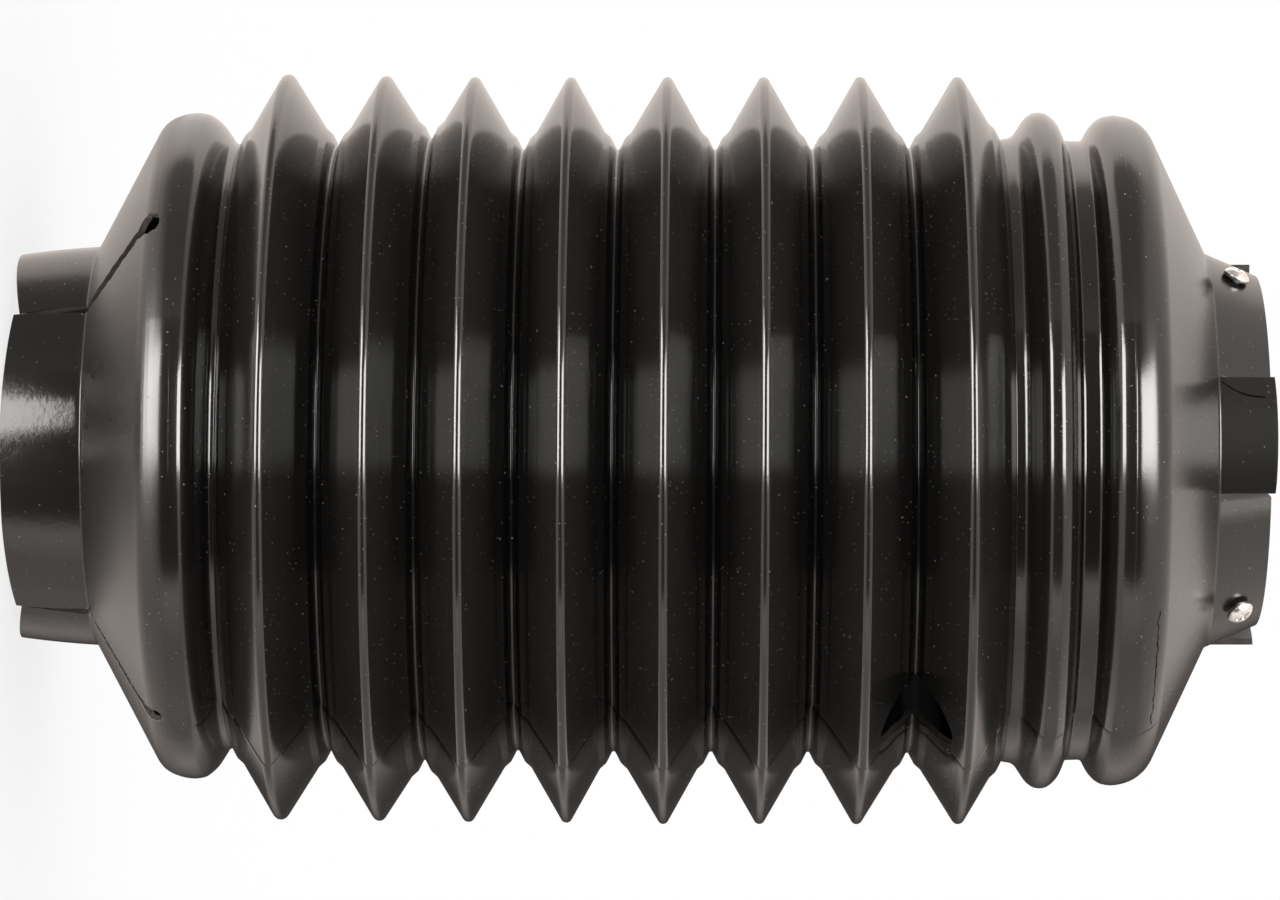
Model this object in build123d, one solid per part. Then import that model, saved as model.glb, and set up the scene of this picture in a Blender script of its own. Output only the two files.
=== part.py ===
"""Folding boot that guards the joint of a drive shaft.

One hollow moulding carries a slit collar, a cone and shoulder, eight sharp folds, a narrow ring,
a second shoulder and cone, and a collar cut into tabs. Three pan-head screws sit in the bent tabs.

The boot stands on its slit collar. Its axis is +Z, and the origin is the centre of that collar's
free end. Angles round the axis start at the front, -Y, and grow towards +X. Lengths are in
millimetres, angles in degrees.
"""

import os
from math import asin, atan2, cos, hypot, radians, sin, tan

from build123d import *

# --- Wall -------------------------------------------------------------------------------------
wall = 2.2
sharpest_rounding = 0.5          # a rounding under this is left sharp inside the wall
rounding_room = 0.99             # share of a straight run that the roundings at its ends may take

# --- Folds: radii are outside ones, and rises are measured out from the root --------------------
fold_count = 8
fold_pitch = 32.0
root_radius = 101.1              # bottom of the groove between two folds
root_land = 3.1                  # width of that bottom
fold_depth = 23.9
crest_rounding = 2.55

# --- Slit collar, its cone and its shoulder ---------------------------------------------------
slit_collar_radius = 67.0        # where the collar meets its cone
slit_collar_length = 26.4
slit_collar_lean = 5.6           # how far the four leaves lean in
slit_cone_angle = 61.9           # between the cone's side and the axis
slit_shoulder_rise = 10.4
slit_shoulder_cone_rounding = 15.8
slit_shoulder_fold_rounding = 8.6
slit_groove_land = 6.2           # bottom of the groove between this shoulder and the first fold
slit_groove_rounding = 1.5

# --- Narrow ring between the last fold and the second shoulder --------------------------------
ring_rise = 12.1
ring_width = 11.4
ring_rounding = 5.6
ring_groove_rise = 2.9
ring_groove_land = 9.0           # bottom of the groove between the last fold and the ring
ring_groove_rounding = 3.2

# --- Second shoulder, its cone and the tabbed collar ------------------------------------------
tab_groove_rise = 1.7
tab_groove_land = 8.0            # bottom of the groove between the ring and this shoulder
tab_groove_rounding = 4.6
tab_shoulder_rise = 11.1
tab_shoulder_ring_angle = 68.7   # between the side that faces the ring and the axis
tab_shoulder_ring_rounding = 9.9
tab_shoulder_cone_rounding = 15.5
tab_cone_angle = 66.0
tab_collar_radius = 66.4
tab_collar_length = 18.2
crown_flat = 0.2                 # left between the two roundings of a crown

# --- Slits of the lower collar ----------------------------------------------------------------
front_leaf_span = 97.0           # between the slits each side of the front leaf
slit_turn = 6.5                  # middle of the front leaf, from the front
slit_free_width = 0.6
slit_base_width = 4.6
slit_cone_width = 1.7
slit_cone_length = 20.4          # up the cone, along the axis

# --- Tabs of the upper collar -----------------------------------------------------------------
tab_count = 3
straight_tab_span = 33.0
straight_tab_turn = -4.5         # middle of the first straight tab, from the front
tab_slit_span = 0.6
bent_tab_lean = 23.3
bent_tab_shortfall = 0.6         # the bent tabs end this much below the straight ones
bent_tab_root = 1.0              # how far a bent tab reaches back into the collar's corner

# --- Hole through one groove ------------------------------------------------------------------
hole_radius = 11.2
hole_turn = 52.0
hole_groove = 7                  # counted from the slit collar, between folds 7 and 8

# --- Screws -----------------------------------------------------------------------------------
screw_shank_radius = 1.95
screw_length = 13.0              # under the head
screw_tip_length = 3.5
screw_hole_clearance = 0.05      # between shank and tab, on the radius
screw_head_radius = 4.5
screw_head_height = 3.0
screw_head_edge = 1.1            # height of the head's straight edge
screw_recess_width = 1.2
screw_recess_length = 4.8
screw_recess_depth = 1.8
screw_stand_off = 1.4            # gap left between head and tab
screw_along_tab = 9.4            # from the collar's corner, along the tab

# --- Radii and heights that follow from the sizes ----------------------------------------------
crest_radius = root_radius + fold_depth
slit_shoulder_radius = root_radius + slit_shoulder_rise
ring_radius = root_radius + ring_rise
ring_groove_radius = root_radius + ring_groove_rise
tab_groove_radius = root_radius + tab_groove_rise
tab_shoulder_radius = root_radius + tab_shoulder_rise

# A fold's side runs from the edge of the root's land to touch the crest's rounding.
fold_half_width = (fold_pitch - root_land) / 2
crest_centre_rise = fold_depth - crest_rounding
crest_centre_reach = hypot(crest_centre_rise, fold_half_width)
flank_angle = atan2(crest_centre_rise, fold_half_width) + asin(crest_rounding / crest_centre_reach)
fold_apex_radius = root_radius + fold_half_width * tan(flank_angle)
last_foot_width = (fold_apex_radius - ring_groove_radius) / tan(flank_angle)

slit_cone_rise = slit_shoulder_radius - slit_collar_radius
slit_cone_top = slit_collar_length + slit_cone_rise / tan(radians(slit_cone_angle))
slit_shoulder_wall = (
    slit_cone_top
    + slit_shoulder_cone_rounding * tan(radians(slit_cone_angle / 2))
    + crown_flat
    + slit_shoulder_fold_rounding
)
first_crest = slit_shoulder_wall + slit_groove_land + fold_half_width
last_crest = first_crest + (fold_count - 1) * fold_pitch
ring_start = last_crest + last_foot_width + ring_groove_land
ring_end = ring_start + ring_width
tab_shoulder_foot = ring_end + tab_groove_land
tab_shoulder_side = tab_shoulder_rise - tab_groove_rise
tab_shoulder_start = tab_shoulder_foot + tab_shoulder_side / tan(radians(tab_shoulder_ring_angle))
tab_shoulder_end = (
    tab_shoulder_start
    + tab_shoulder_ring_rounding * tan(radians(tab_shoulder_ring_angle / 2))
    + crown_flat
    + tab_shoulder_cone_rounding * tan(radians(tab_cone_angle / 2))
)
tab_cone_rise = tab_shoulder_radius - tab_collar_radius
tab_collar_start = tab_shoulder_end + tab_cone_rise / tan(radians(tab_cone_angle))
tab_collar_end = tab_collar_start + tab_collar_length
slit_collar_free_radius = slit_collar_radius - slit_collar_length * tan(radians(slit_collar_lean))
bent_tab_span = 360 / tab_count - straight_tab_span - 2 * tab_slit_span


def outer_corners():
    """Corners of the outside wall from end to end: radius, height, rounding."""
    corners = [
        (slit_collar_free_radius, 0, 0),
        (slit_collar_radius, slit_collar_length, 0),
        (slit_shoulder_radius, slit_cone_top, slit_shoulder_cone_rounding),
        (slit_shoulder_radius, slit_shoulder_wall, slit_shoulder_fold_rounding),
        (root_radius, slit_shoulder_wall, slit_groove_rounding),
    ]
    for fold in range(fold_count):
        crest = first_crest + fold * fold_pitch
        corners += [
            (root_radius, crest - fold_half_width, 0),
            (fold_apex_radius, crest, crest_rounding),
        ]
        if fold < fold_count - 1:
            corners.append((root_radius, crest + fold_half_width, 0))
    corners += [
        (ring_groove_radius, last_crest + last_foot_width, 0),
        (ring_groove_radius, ring_start, ring_groove_rounding),
        (ring_radius, ring_start, ring_rounding),
        (ring_radius, ring_end, ring_rounding),
        (tab_groove_radius, ring_end, tab_groove_rounding),
        (tab_groove_radius, tab_shoulder_foot, tab_groove_rounding),
        (tab_shoulder_radius, tab_shoulder_start, tab_shoulder_ring_rounding),
        (tab_shoulder_radius, tab_shoulder_end, tab_shoulder_cone_rounding),
        (tab_collar_radius, tab_collar_start, 0),
        (tab_collar_radius, tab_collar_end, 0),
    ]
    return corners


def runs(corners):
    """The straight runs between corners, as vectors."""
    points = [Vector(radius, height) for radius, height, rounding in corners]
    return [after - before for before, after in zip(points, points[1:])]


def fitted(corners):
    """The same corners, with each rounding held to what its two straight runs have room for."""
    straight = runs(corners)
    turns = [0.0] + [before.get_angle(after) for before, after in zip(straight, straight[1:])] + [0.0]
    roundings = [rounding for radius, height, rounding in corners]
    for index, run in enumerate(straight):
        needed = sum(roundings[end] * tan(radians(turns[end] / 2)) for end in (index, index + 1))
        share = min(1.0, run.length * rounding_room / max(needed, sharpest_rounding))
        roundings[index] *= share
        roundings[index + 1] *= share
    return [(radius, height, roundings[index]) for index, (radius, height, rounding) in enumerate(corners)]


def inset_corners(corners, depth):
    """The same corners on the inside of a wall that is depth thick."""
    directions = [run.normalized() for run in runs(corners)]
    inward = [Vector(-direction.Y, direction.X) for direction in directions]
    inset = []
    for index, (radius, height, rounding) in enumerate(corners):
        if index == 0 or index == len(corners) - 1:
            end = inward[min(index, len(inward) - 1)]
            inset.append((radius - depth / abs(end.X), height, 0))
            continue
        before, after = inward[index - 1], inward[index]
        shift = (before + after) * (depth / (1 + before.dot(after)))
        is_crest = directions[index - 1].cross(directions[index]).Z > 0
        inner_rounding = rounding - depth if is_crest else rounding + depth
        if rounding == 0 or inner_rounding < sharpest_rounding:
            inner_rounding = 0
        inset.append((radius + shift.X, height + shift.Y, inner_rounding))
    return inset


def outline(corners):
    """A line through the corners, each rounded by its own radius."""
    points = [(radius, height) for radius, height, rounding in corners]
    roundings = [rounding for radius, height, rounding in fitted(corners)[1:-1]]
    return FilletPolyline(*points, radius=roundings)


def around(angle, shape):
    """The shape turned about the axis, from the front."""
    return Rot(0, 0, angle) * shape


def moulded_wall():
    """The whole wall as one turned shell, before anything is cut."""
    with BuildPart() as shell:
        with BuildSketch(Plane.XZ):
            with BuildLine():
                corners = fitted(outer_corners())
                outside = outline(corners)
                inside = outline(inset_corners(corners, wall))
                Line(outside @ 0, inside @ 0)
                Line(outside @ 1, inside @ 1)
            make_face()
        revolve(axis=Axis.Z)
    return shell.part


def sector(corners, span):
    """A closed outline of (radius, height) corners, swept about the axis and centred on the front."""
    with BuildPart() as swept:
        with BuildSketch(Plane.XZ):
            with BuildLine():
                Polyline(*corners, close=True)
            make_face()
        revolve(axis=Axis.Z, revolution_arc=span)
    return around(-90 - span / 2, swept.part)


def collar_slit():
    """Cutter for one slit of the lower collar, at the front: it narrows to the free end and
    runs on up the cone as a thin slot with a round end."""
    half_free, half_base, half_cone = slit_free_width / 2, slit_base_width / 2, slit_cone_width / 2
    slot_end = slit_collar_length + slit_cone_length
    with BuildPart() as cutter:
        with BuildSketch(Plane.XZ):
            with BuildLine():
                Polyline(
                    (half_cone, slot_end),
                    (half_cone, slit_collar_length),
                    (half_base, slit_collar_length),
                    (half_free, 0),
                    (half_free, -wall),
                    (-half_free, -wall),
                    (-half_free, 0),
                    (-half_base, slit_collar_length),
                    (-half_cone, slit_collar_length),
                    (-half_cone, slot_end),
                )
                ThreePointArc((half_cone, slot_end), (0, slot_end + half_cone), (-half_cone, slot_end))
            make_face()
        extrude(amount=slit_shoulder_radius)
    return cutter.part


def lean(along, depth=0.0):
    """A point of a bent tab: so far along it from the collar's corner, so deep inside its face."""
    angle = radians(bent_tab_lean)
    radius = tab_collar_radius - along * sin(angle) - depth * cos(angle)
    height = tab_collar_start + along * cos(angle) - depth * sin(angle)
    return radius, height


def bent_tab():
    """One wide tab, leaning in from the collar's corner."""
    length = (tab_collar_length - bent_tab_shortfall) / cos(radians(bent_tab_lean))
    corners = [lean(-bent_tab_root), lean(length), lean(length, wall), lean(-bent_tab_root, wall)]
    return sector(corners, bent_tab_span)


def tab_window():
    """Cutter that clears the collar between two straight tabs."""
    low, high = tab_collar_start, tab_collar_end + wall
    near, far = tab_collar_radius - 2 * wall, tab_collar_radius + wall
    return sector([(near, low), (far, low), (far, high), (near, high)], bent_tab_span + 2 * tab_slit_span)


def screw_place(angle):
    """Where a screw's head seat would lie flat on a bent tab, with Z out of the tab."""
    radius, height = lean(screw_along_tab)
    lean_out = Location((0, -radius, height), (90 - bent_tab_lean, 0, 0))
    return Rot(0, 0, angle) * lean_out


def groove_hole():
    """Cutter for the round hole through one groove, at the front."""
    height = first_crest + (hole_groove - 0.5) * fold_pitch
    mouth = Plane(origin=(0, 0, height), z_dir=(0, -1, 0))
    return mouth * Cylinder(hole_radius, crest_radius, align=(Align.CENTER, Align.CENTER, Align.MIN))


def bent_tab_turns():
    """The angle of each bent tab's middle."""
    step = 360 / tab_count
    return [straight_tab_turn + step * (index + 0.5) for index in range(tab_count)]


def slit_turns():
    """The angle of each slit of the lower collar."""
    half = front_leaf_span / 2
    return [slit_turn + middle + side for middle in (0, 180) for side in (-half, half)]


def boot():
    """The moulding, with its slits, tabs and hole."""
    body = moulded_wall()
    for angle in slit_turns():
        body -= around(angle, collar_slit())
    for angle in bent_tab_turns():
        body -= around(angle, tab_window())
        body += around(angle, bent_tab())
    shank = Cylinder(screw_shank_radius + screw_hole_clearance, 4 * wall)
    for angle in bent_tab_turns():
        body -= screw_place(angle) * shank
    body -= around(hole_turn, groove_hole())
    return body


def screw():
    """One pan-head screw with a cross recess, its head's underside at the origin, pointing down -Z."""
    tip_start = screw_tip_length - screw_length
    crown_rise = screw_head_height - screw_head_edge
    bulge = (0.72 * screw_head_radius, screw_head_edge + 0.72 * crown_rise)
    with BuildPart() as blank:
        with BuildSketch(Plane.XZ):
            with BuildLine():
                Polyline(
                    (0, screw_head_height),
                    (0, -screw_length),
                    (screw_shank_radius, tip_start),
                    (screw_shank_radius, 0),
                    (screw_head_radius, 0),
                    (screw_head_radius, screw_head_edge),
                )
                ThreePointArc((screw_head_radius, screw_head_edge), bulge, (0, screw_head_height))
            make_face()
        revolve(axis=Axis.Z)
    recess = Box(screw_recess_length, screw_recess_width, 2 * screw_recess_depth)
    recess += Box(screw_recess_width, screw_recess_length, 2 * screw_recess_depth)
    return blank.part - Pos(0, 0, screw_head_height) * recess


def screws():
    """The three screws, each standing off its tab by the same gap."""
    one = Pos(0, 0, screw_stand_off) * screw()
    return Compound(children=[screw_place(angle) * one for angle in bent_tab_turns()])


os.makedirs("parts", exist_ok=True)
export_step(boot(), "parts/bellows_boot.step")
export_step(screws(), "parts/collar_screws.step")
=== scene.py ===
# %% [markdown]
# # A folding rubber boot for a shaft joint
# This lesson dresses a plain CAD boot as the real moulding. The boot is one piece of glossy black
# rubber: a collar cut into leaves, a cone and shoulder, eight sharp folds, a narrow ring, a second
# shoulder and cone, and a collar cut into tabs that carry three small screws. The CAD model could
# be given materials and left at that, but its folds are all alike and its edges knife-sharp, so
# each of its two nodes gets a finer mesh in the same place. The CAD model is loaded first and is
# never moved. Lengths are written in millimetres and turned into metres as points are placed.

from math import asin, atan2, cos, degrees, hypot, pi, radians, sin, tan

import bpy
import numpy as np
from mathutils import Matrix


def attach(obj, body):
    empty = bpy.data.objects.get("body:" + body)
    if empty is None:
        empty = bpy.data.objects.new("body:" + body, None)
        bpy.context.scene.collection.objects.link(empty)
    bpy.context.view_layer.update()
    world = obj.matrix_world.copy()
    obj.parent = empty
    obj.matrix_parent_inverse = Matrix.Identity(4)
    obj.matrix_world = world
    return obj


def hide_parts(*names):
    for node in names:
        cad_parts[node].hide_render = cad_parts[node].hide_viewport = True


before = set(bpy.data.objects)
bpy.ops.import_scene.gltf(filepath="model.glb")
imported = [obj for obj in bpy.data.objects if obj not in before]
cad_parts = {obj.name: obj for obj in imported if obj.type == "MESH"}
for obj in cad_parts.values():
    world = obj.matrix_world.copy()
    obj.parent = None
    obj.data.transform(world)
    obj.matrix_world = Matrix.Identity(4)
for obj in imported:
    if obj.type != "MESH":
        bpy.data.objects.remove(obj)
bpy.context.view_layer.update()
MM = 0.001
print("CAD nodes:", sorted(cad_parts))

# %% [markdown]
# ## The outline of the wall
# The boot's wall is a turned shape, so one outline of radius against height holds nearly all of it.
# It could be a curve with a Screw modifier, but the slits, the tabs and the hole have to follow the
# same surface, so the outline becomes rows of points that a mesh is laid on. Soft rubber is never
# quite regular: the folds are listed one by one, with the height and radius that each has taken.

# %% Heights and radii of the folds
FOLDS = [  # height and radius of each crest
    (88.4, 124.9), (121.2, 124.9), (151.0, 124.9), (183.4, 124.9),
    (215.7, 125.1), (247.8, 125.2), (280.1, 125.2), (313.4, 125.2),
]
ROOTS = [  # height and radius of the groove above each crest but the last
    (105.0, 101.6), (136.3, 104.3), (167.3, 100.8), (199.1, 101.0),
    (231.6, 101.0), (264.0, 101.1), (296.8, 101.4),
]
FIRST_FOOT, LAST_FOOT = (72.7, 101.2), (327.6, 104.2)  # where the row of folds starts and ends
ROOT_LAND = 0.9  # width of a groove's flat bottom

feet = [FIRST_FOOT]
for height, radius in ROOTS:
    feet += [(height - ROOT_LAND / 2, radius), (height + ROOT_LAND / 2, radius)]
feet.append(LAST_FOOT)
print(len(FOLDS), "folds from", feet[0][0], "to", feet[-1][0], "mm")

# %% [markdown]
# ## One fold
# A fold is a V. Beside the groove each of its sides has a notch and a shelf, left by the steps in
# the mould's core, and at the top the sides meet in a small round crest. A Bevel modifier would
# round all of these alike, so each corner is listed with a rounding of its own. A rounding cuts a
# crest lower, so its sharp corner is worked out backwards from the radius that is wanted.

# %% Corners of every fold
CREST_ROUNDING, STEP_ROUNDING, ROOT_ROUNDING = 1.85, 1.2, 0.5
NOTCH_WIDTH, NOTCH_DEPTH = 2.0, 3.9
SHELF_WIDTH, SHELF_DEPTH = 2.1, 1.9
CREST_BAND = 2.4  # the last row of a flank lies this far below the crest


def side_steps(foot, side):
    """The notch and the shelf that lead from a foot up one side of a fold."""
    notch = foot[0] + side * NOTCH_WIDTH, foot[1] + NOTCH_DEPTH
    shelf = notch[0] + side * SHELF_WIDTH, notch[1] + SHELF_DEPTH
    return notch, shelf


def fold_apex(foot_a, crest, foot_b):
    """The sharp corner that a rounding of CREST_ROUNDING cuts down to the crest's own radius."""
    height, radius = crest
    reach = min(height - foot_a[0], foot_b[0] - height)
    rise = radius - CREST_ROUNDING - max(foot_a[1], foot_b[1])
    angle = atan2(rise, reach) + asin(CREST_ROUNDING / hypot(rise, reach))
    return radius - CREST_ROUNDING + CREST_ROUNDING / cos(angle)


folded, flank_heights = [], []
for crest, before, after in zip(FOLDS, feet[::2], feet[1::2]):
    notch_a, shelf_a = side_steps(before, 1)
    notch_b, shelf_b = side_steps(after, -1)
    apex = crest[0], fold_apex(shelf_a, crest, shelf_b)
    for (height, radius), rounding in (
        (before, ROOT_ROUNDING), (notch_a, STEP_ROUNDING), (shelf_a, STEP_ROUNDING),
        (apex, CREST_ROUNDING),
        (shelf_b, STEP_ROUNDING), (notch_b, STEP_ROUNDING), (after, ROOT_ROUNDING),
    ):
        folded.append((radius, height, rounding))
    for shelf in (shelf_a, shelf_b):
        for radius in (shelf[1] + STEP_ROUNDING, crest[1] - CREST_BAND):
            share = (radius - shelf[1]) / (apex[1] - shelf[1])
            flank_heights.append(shelf[0] + share * (apex[0] - shelf[0]))
print(len(folded), "corners on the folds")

# %% [markdown]
# ## Shoulders and ring
# The two shoulders and the ring are turned beads. What the eye reads on them is the width of each
# mirrored lamp, and that is set by how tightly the surface turns there. A few round corners would
# turn too evenly, so each bead is built from its crown outwards as a chain of arcs, given by their
# radius and by the direction that the surface has turned to at the end of each. A negative radius
# curls the other way, into the groove.

# %% Chains of arcs
CHAIN_STEP = 6.5  # degrees from point to point


def sweep(crown, side, pieces):
    """Corners (radius, height, 0) from a crown along one side; radius 0 means a straight drop."""
    height, radius = crown
    facing_now, made = 0.0, []
    for bend, value in pieces:
        if bend == 0:
            radius, height = radius - value, height + side * value / tan(radians(facing_now))
            made.append((radius, height, 0.0))
            continue
        steps = max(2, round(abs(value - facing_now) / CHAIN_STEP))
        middle_radius = radius - bend * cos(radians(facing_now))
        middle_height = height - side * bend * sin(radians(facing_now))
        for angle in np.linspace(facing_now, value, steps + 1)[1:]:
            radius = middle_radius + bend * cos(radians(angle))
            height = middle_height + side * bend * sin(radians(angle))
            made.append((radius, height, 0.0))
        facing_now = value
    return made


def bead(crown, back, fore):
    """Both sides of a bead, from its lower groove over the crown (height, radius) to the upper."""
    return sweep(crown, -1, back)[::-1] + [(crown[1], crown[0], 0.0)] + sweep(crown, 1, fore)


leaf_shoulder = bead(
    (58.5, 111.6), [(14.4, 10.7), (17.2, 27.7), (7.8, 61.6)],
    [(14.4, 13.3), (4.1, 31.3), (14.0, 57.0), (0, 3.9), (-2.5, 0.0)],
)
ring = bead(
    (340.6, 113.3), [(6.7, 15.4), (3.3, 32.4), (8.9, 57.0), (0, 3.4), (-4.5, 0.0)],
    [(6.7, 8.6), (3.4, 26.6), (9.0, 68.0), (0, 3.3), (-1.8, 0.0)],
)
tab_shoulder = bead(
    (365.1, 112.3), [(12.3, 15.7), (4.5, 32.7), (10.5, 62.0), (0, 2.4), (-2.4, 0.0)],
    [(12.3, 8.3), (15.7, 26.3), (12.0, 64.6)],
)
print("bead points:", [len(made) for made in (leaf_shoulder, ring, tab_shoulder)])

# %% [markdown]
# ## The collars
# At both ends the wall turns straight up out of its cone. The leaves of the lower collar were
# clamped round a smaller shaft, so they don't stand quite straight: they lean in and curl a little
# more towards their ends, which a short parabola gives. With the collars the outline is complete.

# %% Join the outline from end to end
LEAF_RADIUS, COLLAR_CORNER = 66.9, 26.4
LEAF_SLOPE, LEAF_CURL = 0.055, 0.0016
TAB_RADIUS, TAB_CORNER, BOOT_TOP = 66.4, 395.5, 413.65
COLLAR_ROUNDING = 0.9

leaf_end = []
for z in np.linspace(0, 24, 11):
    below = COLLAR_CORNER - z
    leaf_end.append((LEAF_RADIUS - LEAF_SLOPE * below - LEAF_CURL * below ** 2, z, 0.0))
corners = leaf_end + [(LEAF_RADIUS, COLLAR_CORNER, COLLAR_ROUNDING)] + leaf_shoulder + folded
corners += ring + tab_shoulder
corners += [(TAB_RADIUS, TAB_CORNER, COLLAR_ROUNDING), (TAB_RADIUS, BOOT_TOP, 0.0)]
print(len(corners), "corners from end to end")

# %% [markdown]
# ## From corners to points
# Each corner with a rounding is cut by an arc that touches both of its straight runs. A Bevel
# modifier could do it after the mesh is made, but then the cuts would be bevelled too. A polished
# black surface shows every facet as a broken highlight, so an arc is cut finely, and only the
# tightest ones, deep in the grooves, make do with half as many chords.

# %% Round the corners
ARC_STEP = 11.0  # degrees from point to point
TIGHT = 0.7  # a rounding under this gets steps twice as long
STRAIGHT = 0.02  # radians; a corner that turns less than this stays as it is


def rounded(corners):
    """Points (radius, height) along the outline, every rounding turned into short chords."""
    points = [np.array(corners[0][:2])]
    for before, corner, after in zip(corners, corners[1:], corners[2:]):
        here = np.array(corner[:2])
        to_before, to_after = np.array(before[:2]) - here, np.array(after[:2]) - here
        to_before /= np.linalg.norm(to_before)
        to_after /= np.linalg.norm(to_after)
        turn = pi - np.arccos(np.clip(to_before @ to_after, -1, 1))
        if corner[2] == 0 or turn < STRAIGHT:
            points.append(here)
            continue
        reach = corner[2] * tan(turn / 2)
        bisector = (to_before + to_after) / np.linalg.norm(to_before + to_after)
        centre = here + bisector * corner[2] / cos(turn / 2)
        first = here + to_before * reach - centre
        steps = max(2, round(degrees(turn) / (ARC_STEP if corner[2] > TIGHT else 2 * ARC_STEP)))
        side = np.sign(first[0] * (here - centre)[1] - first[1] * (here - centre)[0])
        for step in range(steps + 1):
            angle = side * turn * step / steps
            spin = np.array([[cos(angle), -sin(angle)], [sin(angle), cos(angle)]])
            points.append(centre + spin @ first)
    points.append(np.array(corners[-1][:2]))
    return points


outline = rounded(corners)
print(len(outline), "points; widest", round(max(p[0] for p in outline), 1), "mm")

# %% [markdown]
# ## Rows where the cuts need them
# The collars, the slits up the cone and the round water hole are cut along rows of the mesh, so
# extra rows go in at the heights that they need. Loop cuts by hand would do the same in a mesh
# that is drawn by hand. The hole gets rows close together near its top and foot, where a circle
# turns fastest. Two faint beads on the crowns of the shoulders show where parts of the mould met.

# %% Extra rows and beads
HOLE_TURN, HOLE_HEIGHT, HOLE_RADIUS = 51.7, 297.1, 11.4
SLIT_TOP = 53.6
BEADS = {59.0: (0.4, 0.07), 365.0: (0.4, 0.08)}  # height: half width and rise
SAME_ROW = 0.02  # a new row this close to an old one isn't added


def split_at(points, height):
    """The same outline with a point at this height."""
    for index, (low, high) in enumerate(zip(points, points[1:])):
        if low[1] + SAME_ROW < height < high[1] - SAME_ROW:
            share = (height - low[1]) / (high[1] - low[1])
            return points[: index + 1] + [low + (high - low) * share] + points[index + 1:]
    return points


hole_rows = [HOLE_HEIGHT + HOLE_RADIUS * sin(radians(a)) for a in np.linspace(-86, 86, 15)]
slit_rows = list(np.linspace(28, SLIT_TOP, 24))
tab_rows = list(np.linspace(TAB_CORNER + 1.2, 413.0, 8)) + [413.35]
bead_rows = []
for height, (half, _) in BEADS.items():
    bead_rows += [height + half * share for share in (-1, -0.5, 0, 0.5, 1)]
for height in sorted(hole_rows + slit_rows + tab_rows + bead_rows + flank_heights):
    outline = split_at(outline, height)
outline = np.array(outline)
ROWS = len(outline)
heights = outline[:, 1]


def facing(points):
    """The outward direction of the outline at each point, as (radius, height)."""
    runs = np.diff(points, axis=0)
    normals = np.column_stack([runs[:, 1], -runs[:, 0]])
    summed = np.vstack([normals, normals[-1]]) + np.vstack([normals[0], normals])
    return summed / np.linalg.norm(summed, axis=1)[:, None]


faces_out = facing(outline)
relief = np.zeros(ROWS)
for height, (half, rise) in BEADS.items():
    relief += rise * np.clip(1 - np.abs(heights - height) / half, 0, 1)
print(ROWS, "rows; the beads rise", round(relief.max(), 3), "mm")

# %% [markdown]
# ## Columns round the axis
# Angles start at the front, -Y, and grow towards +X. The columns could all be even, but then no
# cut would fall between two of them. So they are even except for a close pair at each cut, which
# is later pushed open to the cut's own width, row by row, and four close columns at each of the
# two parting lines of the outer mould.

# %% Lay out the columns
SLITS = [(-42.0, 1.3), (55.0, -1.9), (138.0, -1.9), (-125.0, 1.3)]  # turn, and drift up the cone
TAB_MIDDLES = [-4.5, 115.5, -124.5]
STRAIGHT_HALF, TAB_GAP = 16.5, 0.6  # half a straight tab, and the gap beside it, in degrees
PARTING = [55.5, -124.5]
SEAM_NEAR, SEAM_FAR = 0.1, 0.3
PAIR = 0.35  # half the angle between the two columns of a pair
EVEN_STEP, FINE_STEP, ROOM = 3.0, 1.5, 0.55

edges = []
for turn in [turn for turn, _ in SLITS] + [HOLE_TURN]:
    edges += [turn - PAIR, turn + PAIR]
for middle in TAB_MIDDLES:
    for side in (-1, 1):
        edges += [middle + side * STRAIGHT_HALF, middle + side * (STRAIGHT_HALF + TAB_GAP)]
for turn in PARTING:
    edges += [turn - SEAM_FAR, turn - SEAM_NEAR, turn + SEAM_NEAR, turn + SEAM_FAR]
edges = [(edge + 180) % 360 - 180 for edge in edges]
even = list(np.arange(-180, 180, EVEN_STEP)) + list(np.arange(HOLE_TURN - 7.5, HOLE_TURN + 8, FINE_STEP))
columns = np.array(sorted(edges + [t for t in even if min(abs(t - e) for e in edges) > ROOM]))
COLUMNS = len(columns)


def off_from(middle):
    """Degrees from a middle to each column, from -180 to 180."""
    return (columns - middle + 180) % 360 - 180


print(COLUMNS, "columns")

# %% [markdown]
# ## How wide each cut is
# The slits were cut with a blade held in the hand, so their edges wander a little, and each ends
# in a torn pocket. A noise texture could shake the edges, but a sum of three sines does it at the
# same place in every run, and its size is easy to set.

# %% Widths of the slits, row by row
def wander(height, seed):
    """A hand-cut edge's small, repeatable waver, from -1 to 1."""
    slow, middling, quick = sin(height * 0.9 + 2 * seed), sin(height * 2.3 + seed), sin(height * 5.1 + seed)
    return middling * 0.5 + slow * 0.3 + quick * 0.2


def slit_half_width(height, seed):
    """Half a slit's width in mm: narrow at the collar's end, wide on the cone, torn at the top."""
    if height <= COLLAR_CORNER:
        return 0.25 + 1.95 * (height / COLLAR_CORNER) ** 1.3 + 0.08 * wander(height, seed)
    share = (height - COLLAR_CORNER) / (SLIT_TOP - COLLAR_CORNER)
    width = 1.5 + 0.85 * sin(pi * min(share * 1.15, 1)) + 0.6 * wander(height, seed)
    if share > 0.74:
        width += 2.6 * max(0.0, 1 - ((share - 0.87) / 0.13) ** 2) ** 0.5
    return max(width, 0.3)


print("half width on the cone:", [round(slit_half_width(z, 0.0), 1) for z in (30, 40, 50)], "mm")

# %% [markdown]
# ## Pushing the cuts open
# A slit or a hole could be cut with a Boolean, but the sliver faces that it leaves spoil a glossy
# surface. Here the close pair of columns at each cut is pushed apart to the width that the cut has
# at each row, and the columns near it give way, so the mesh stays a clean grid.

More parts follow.
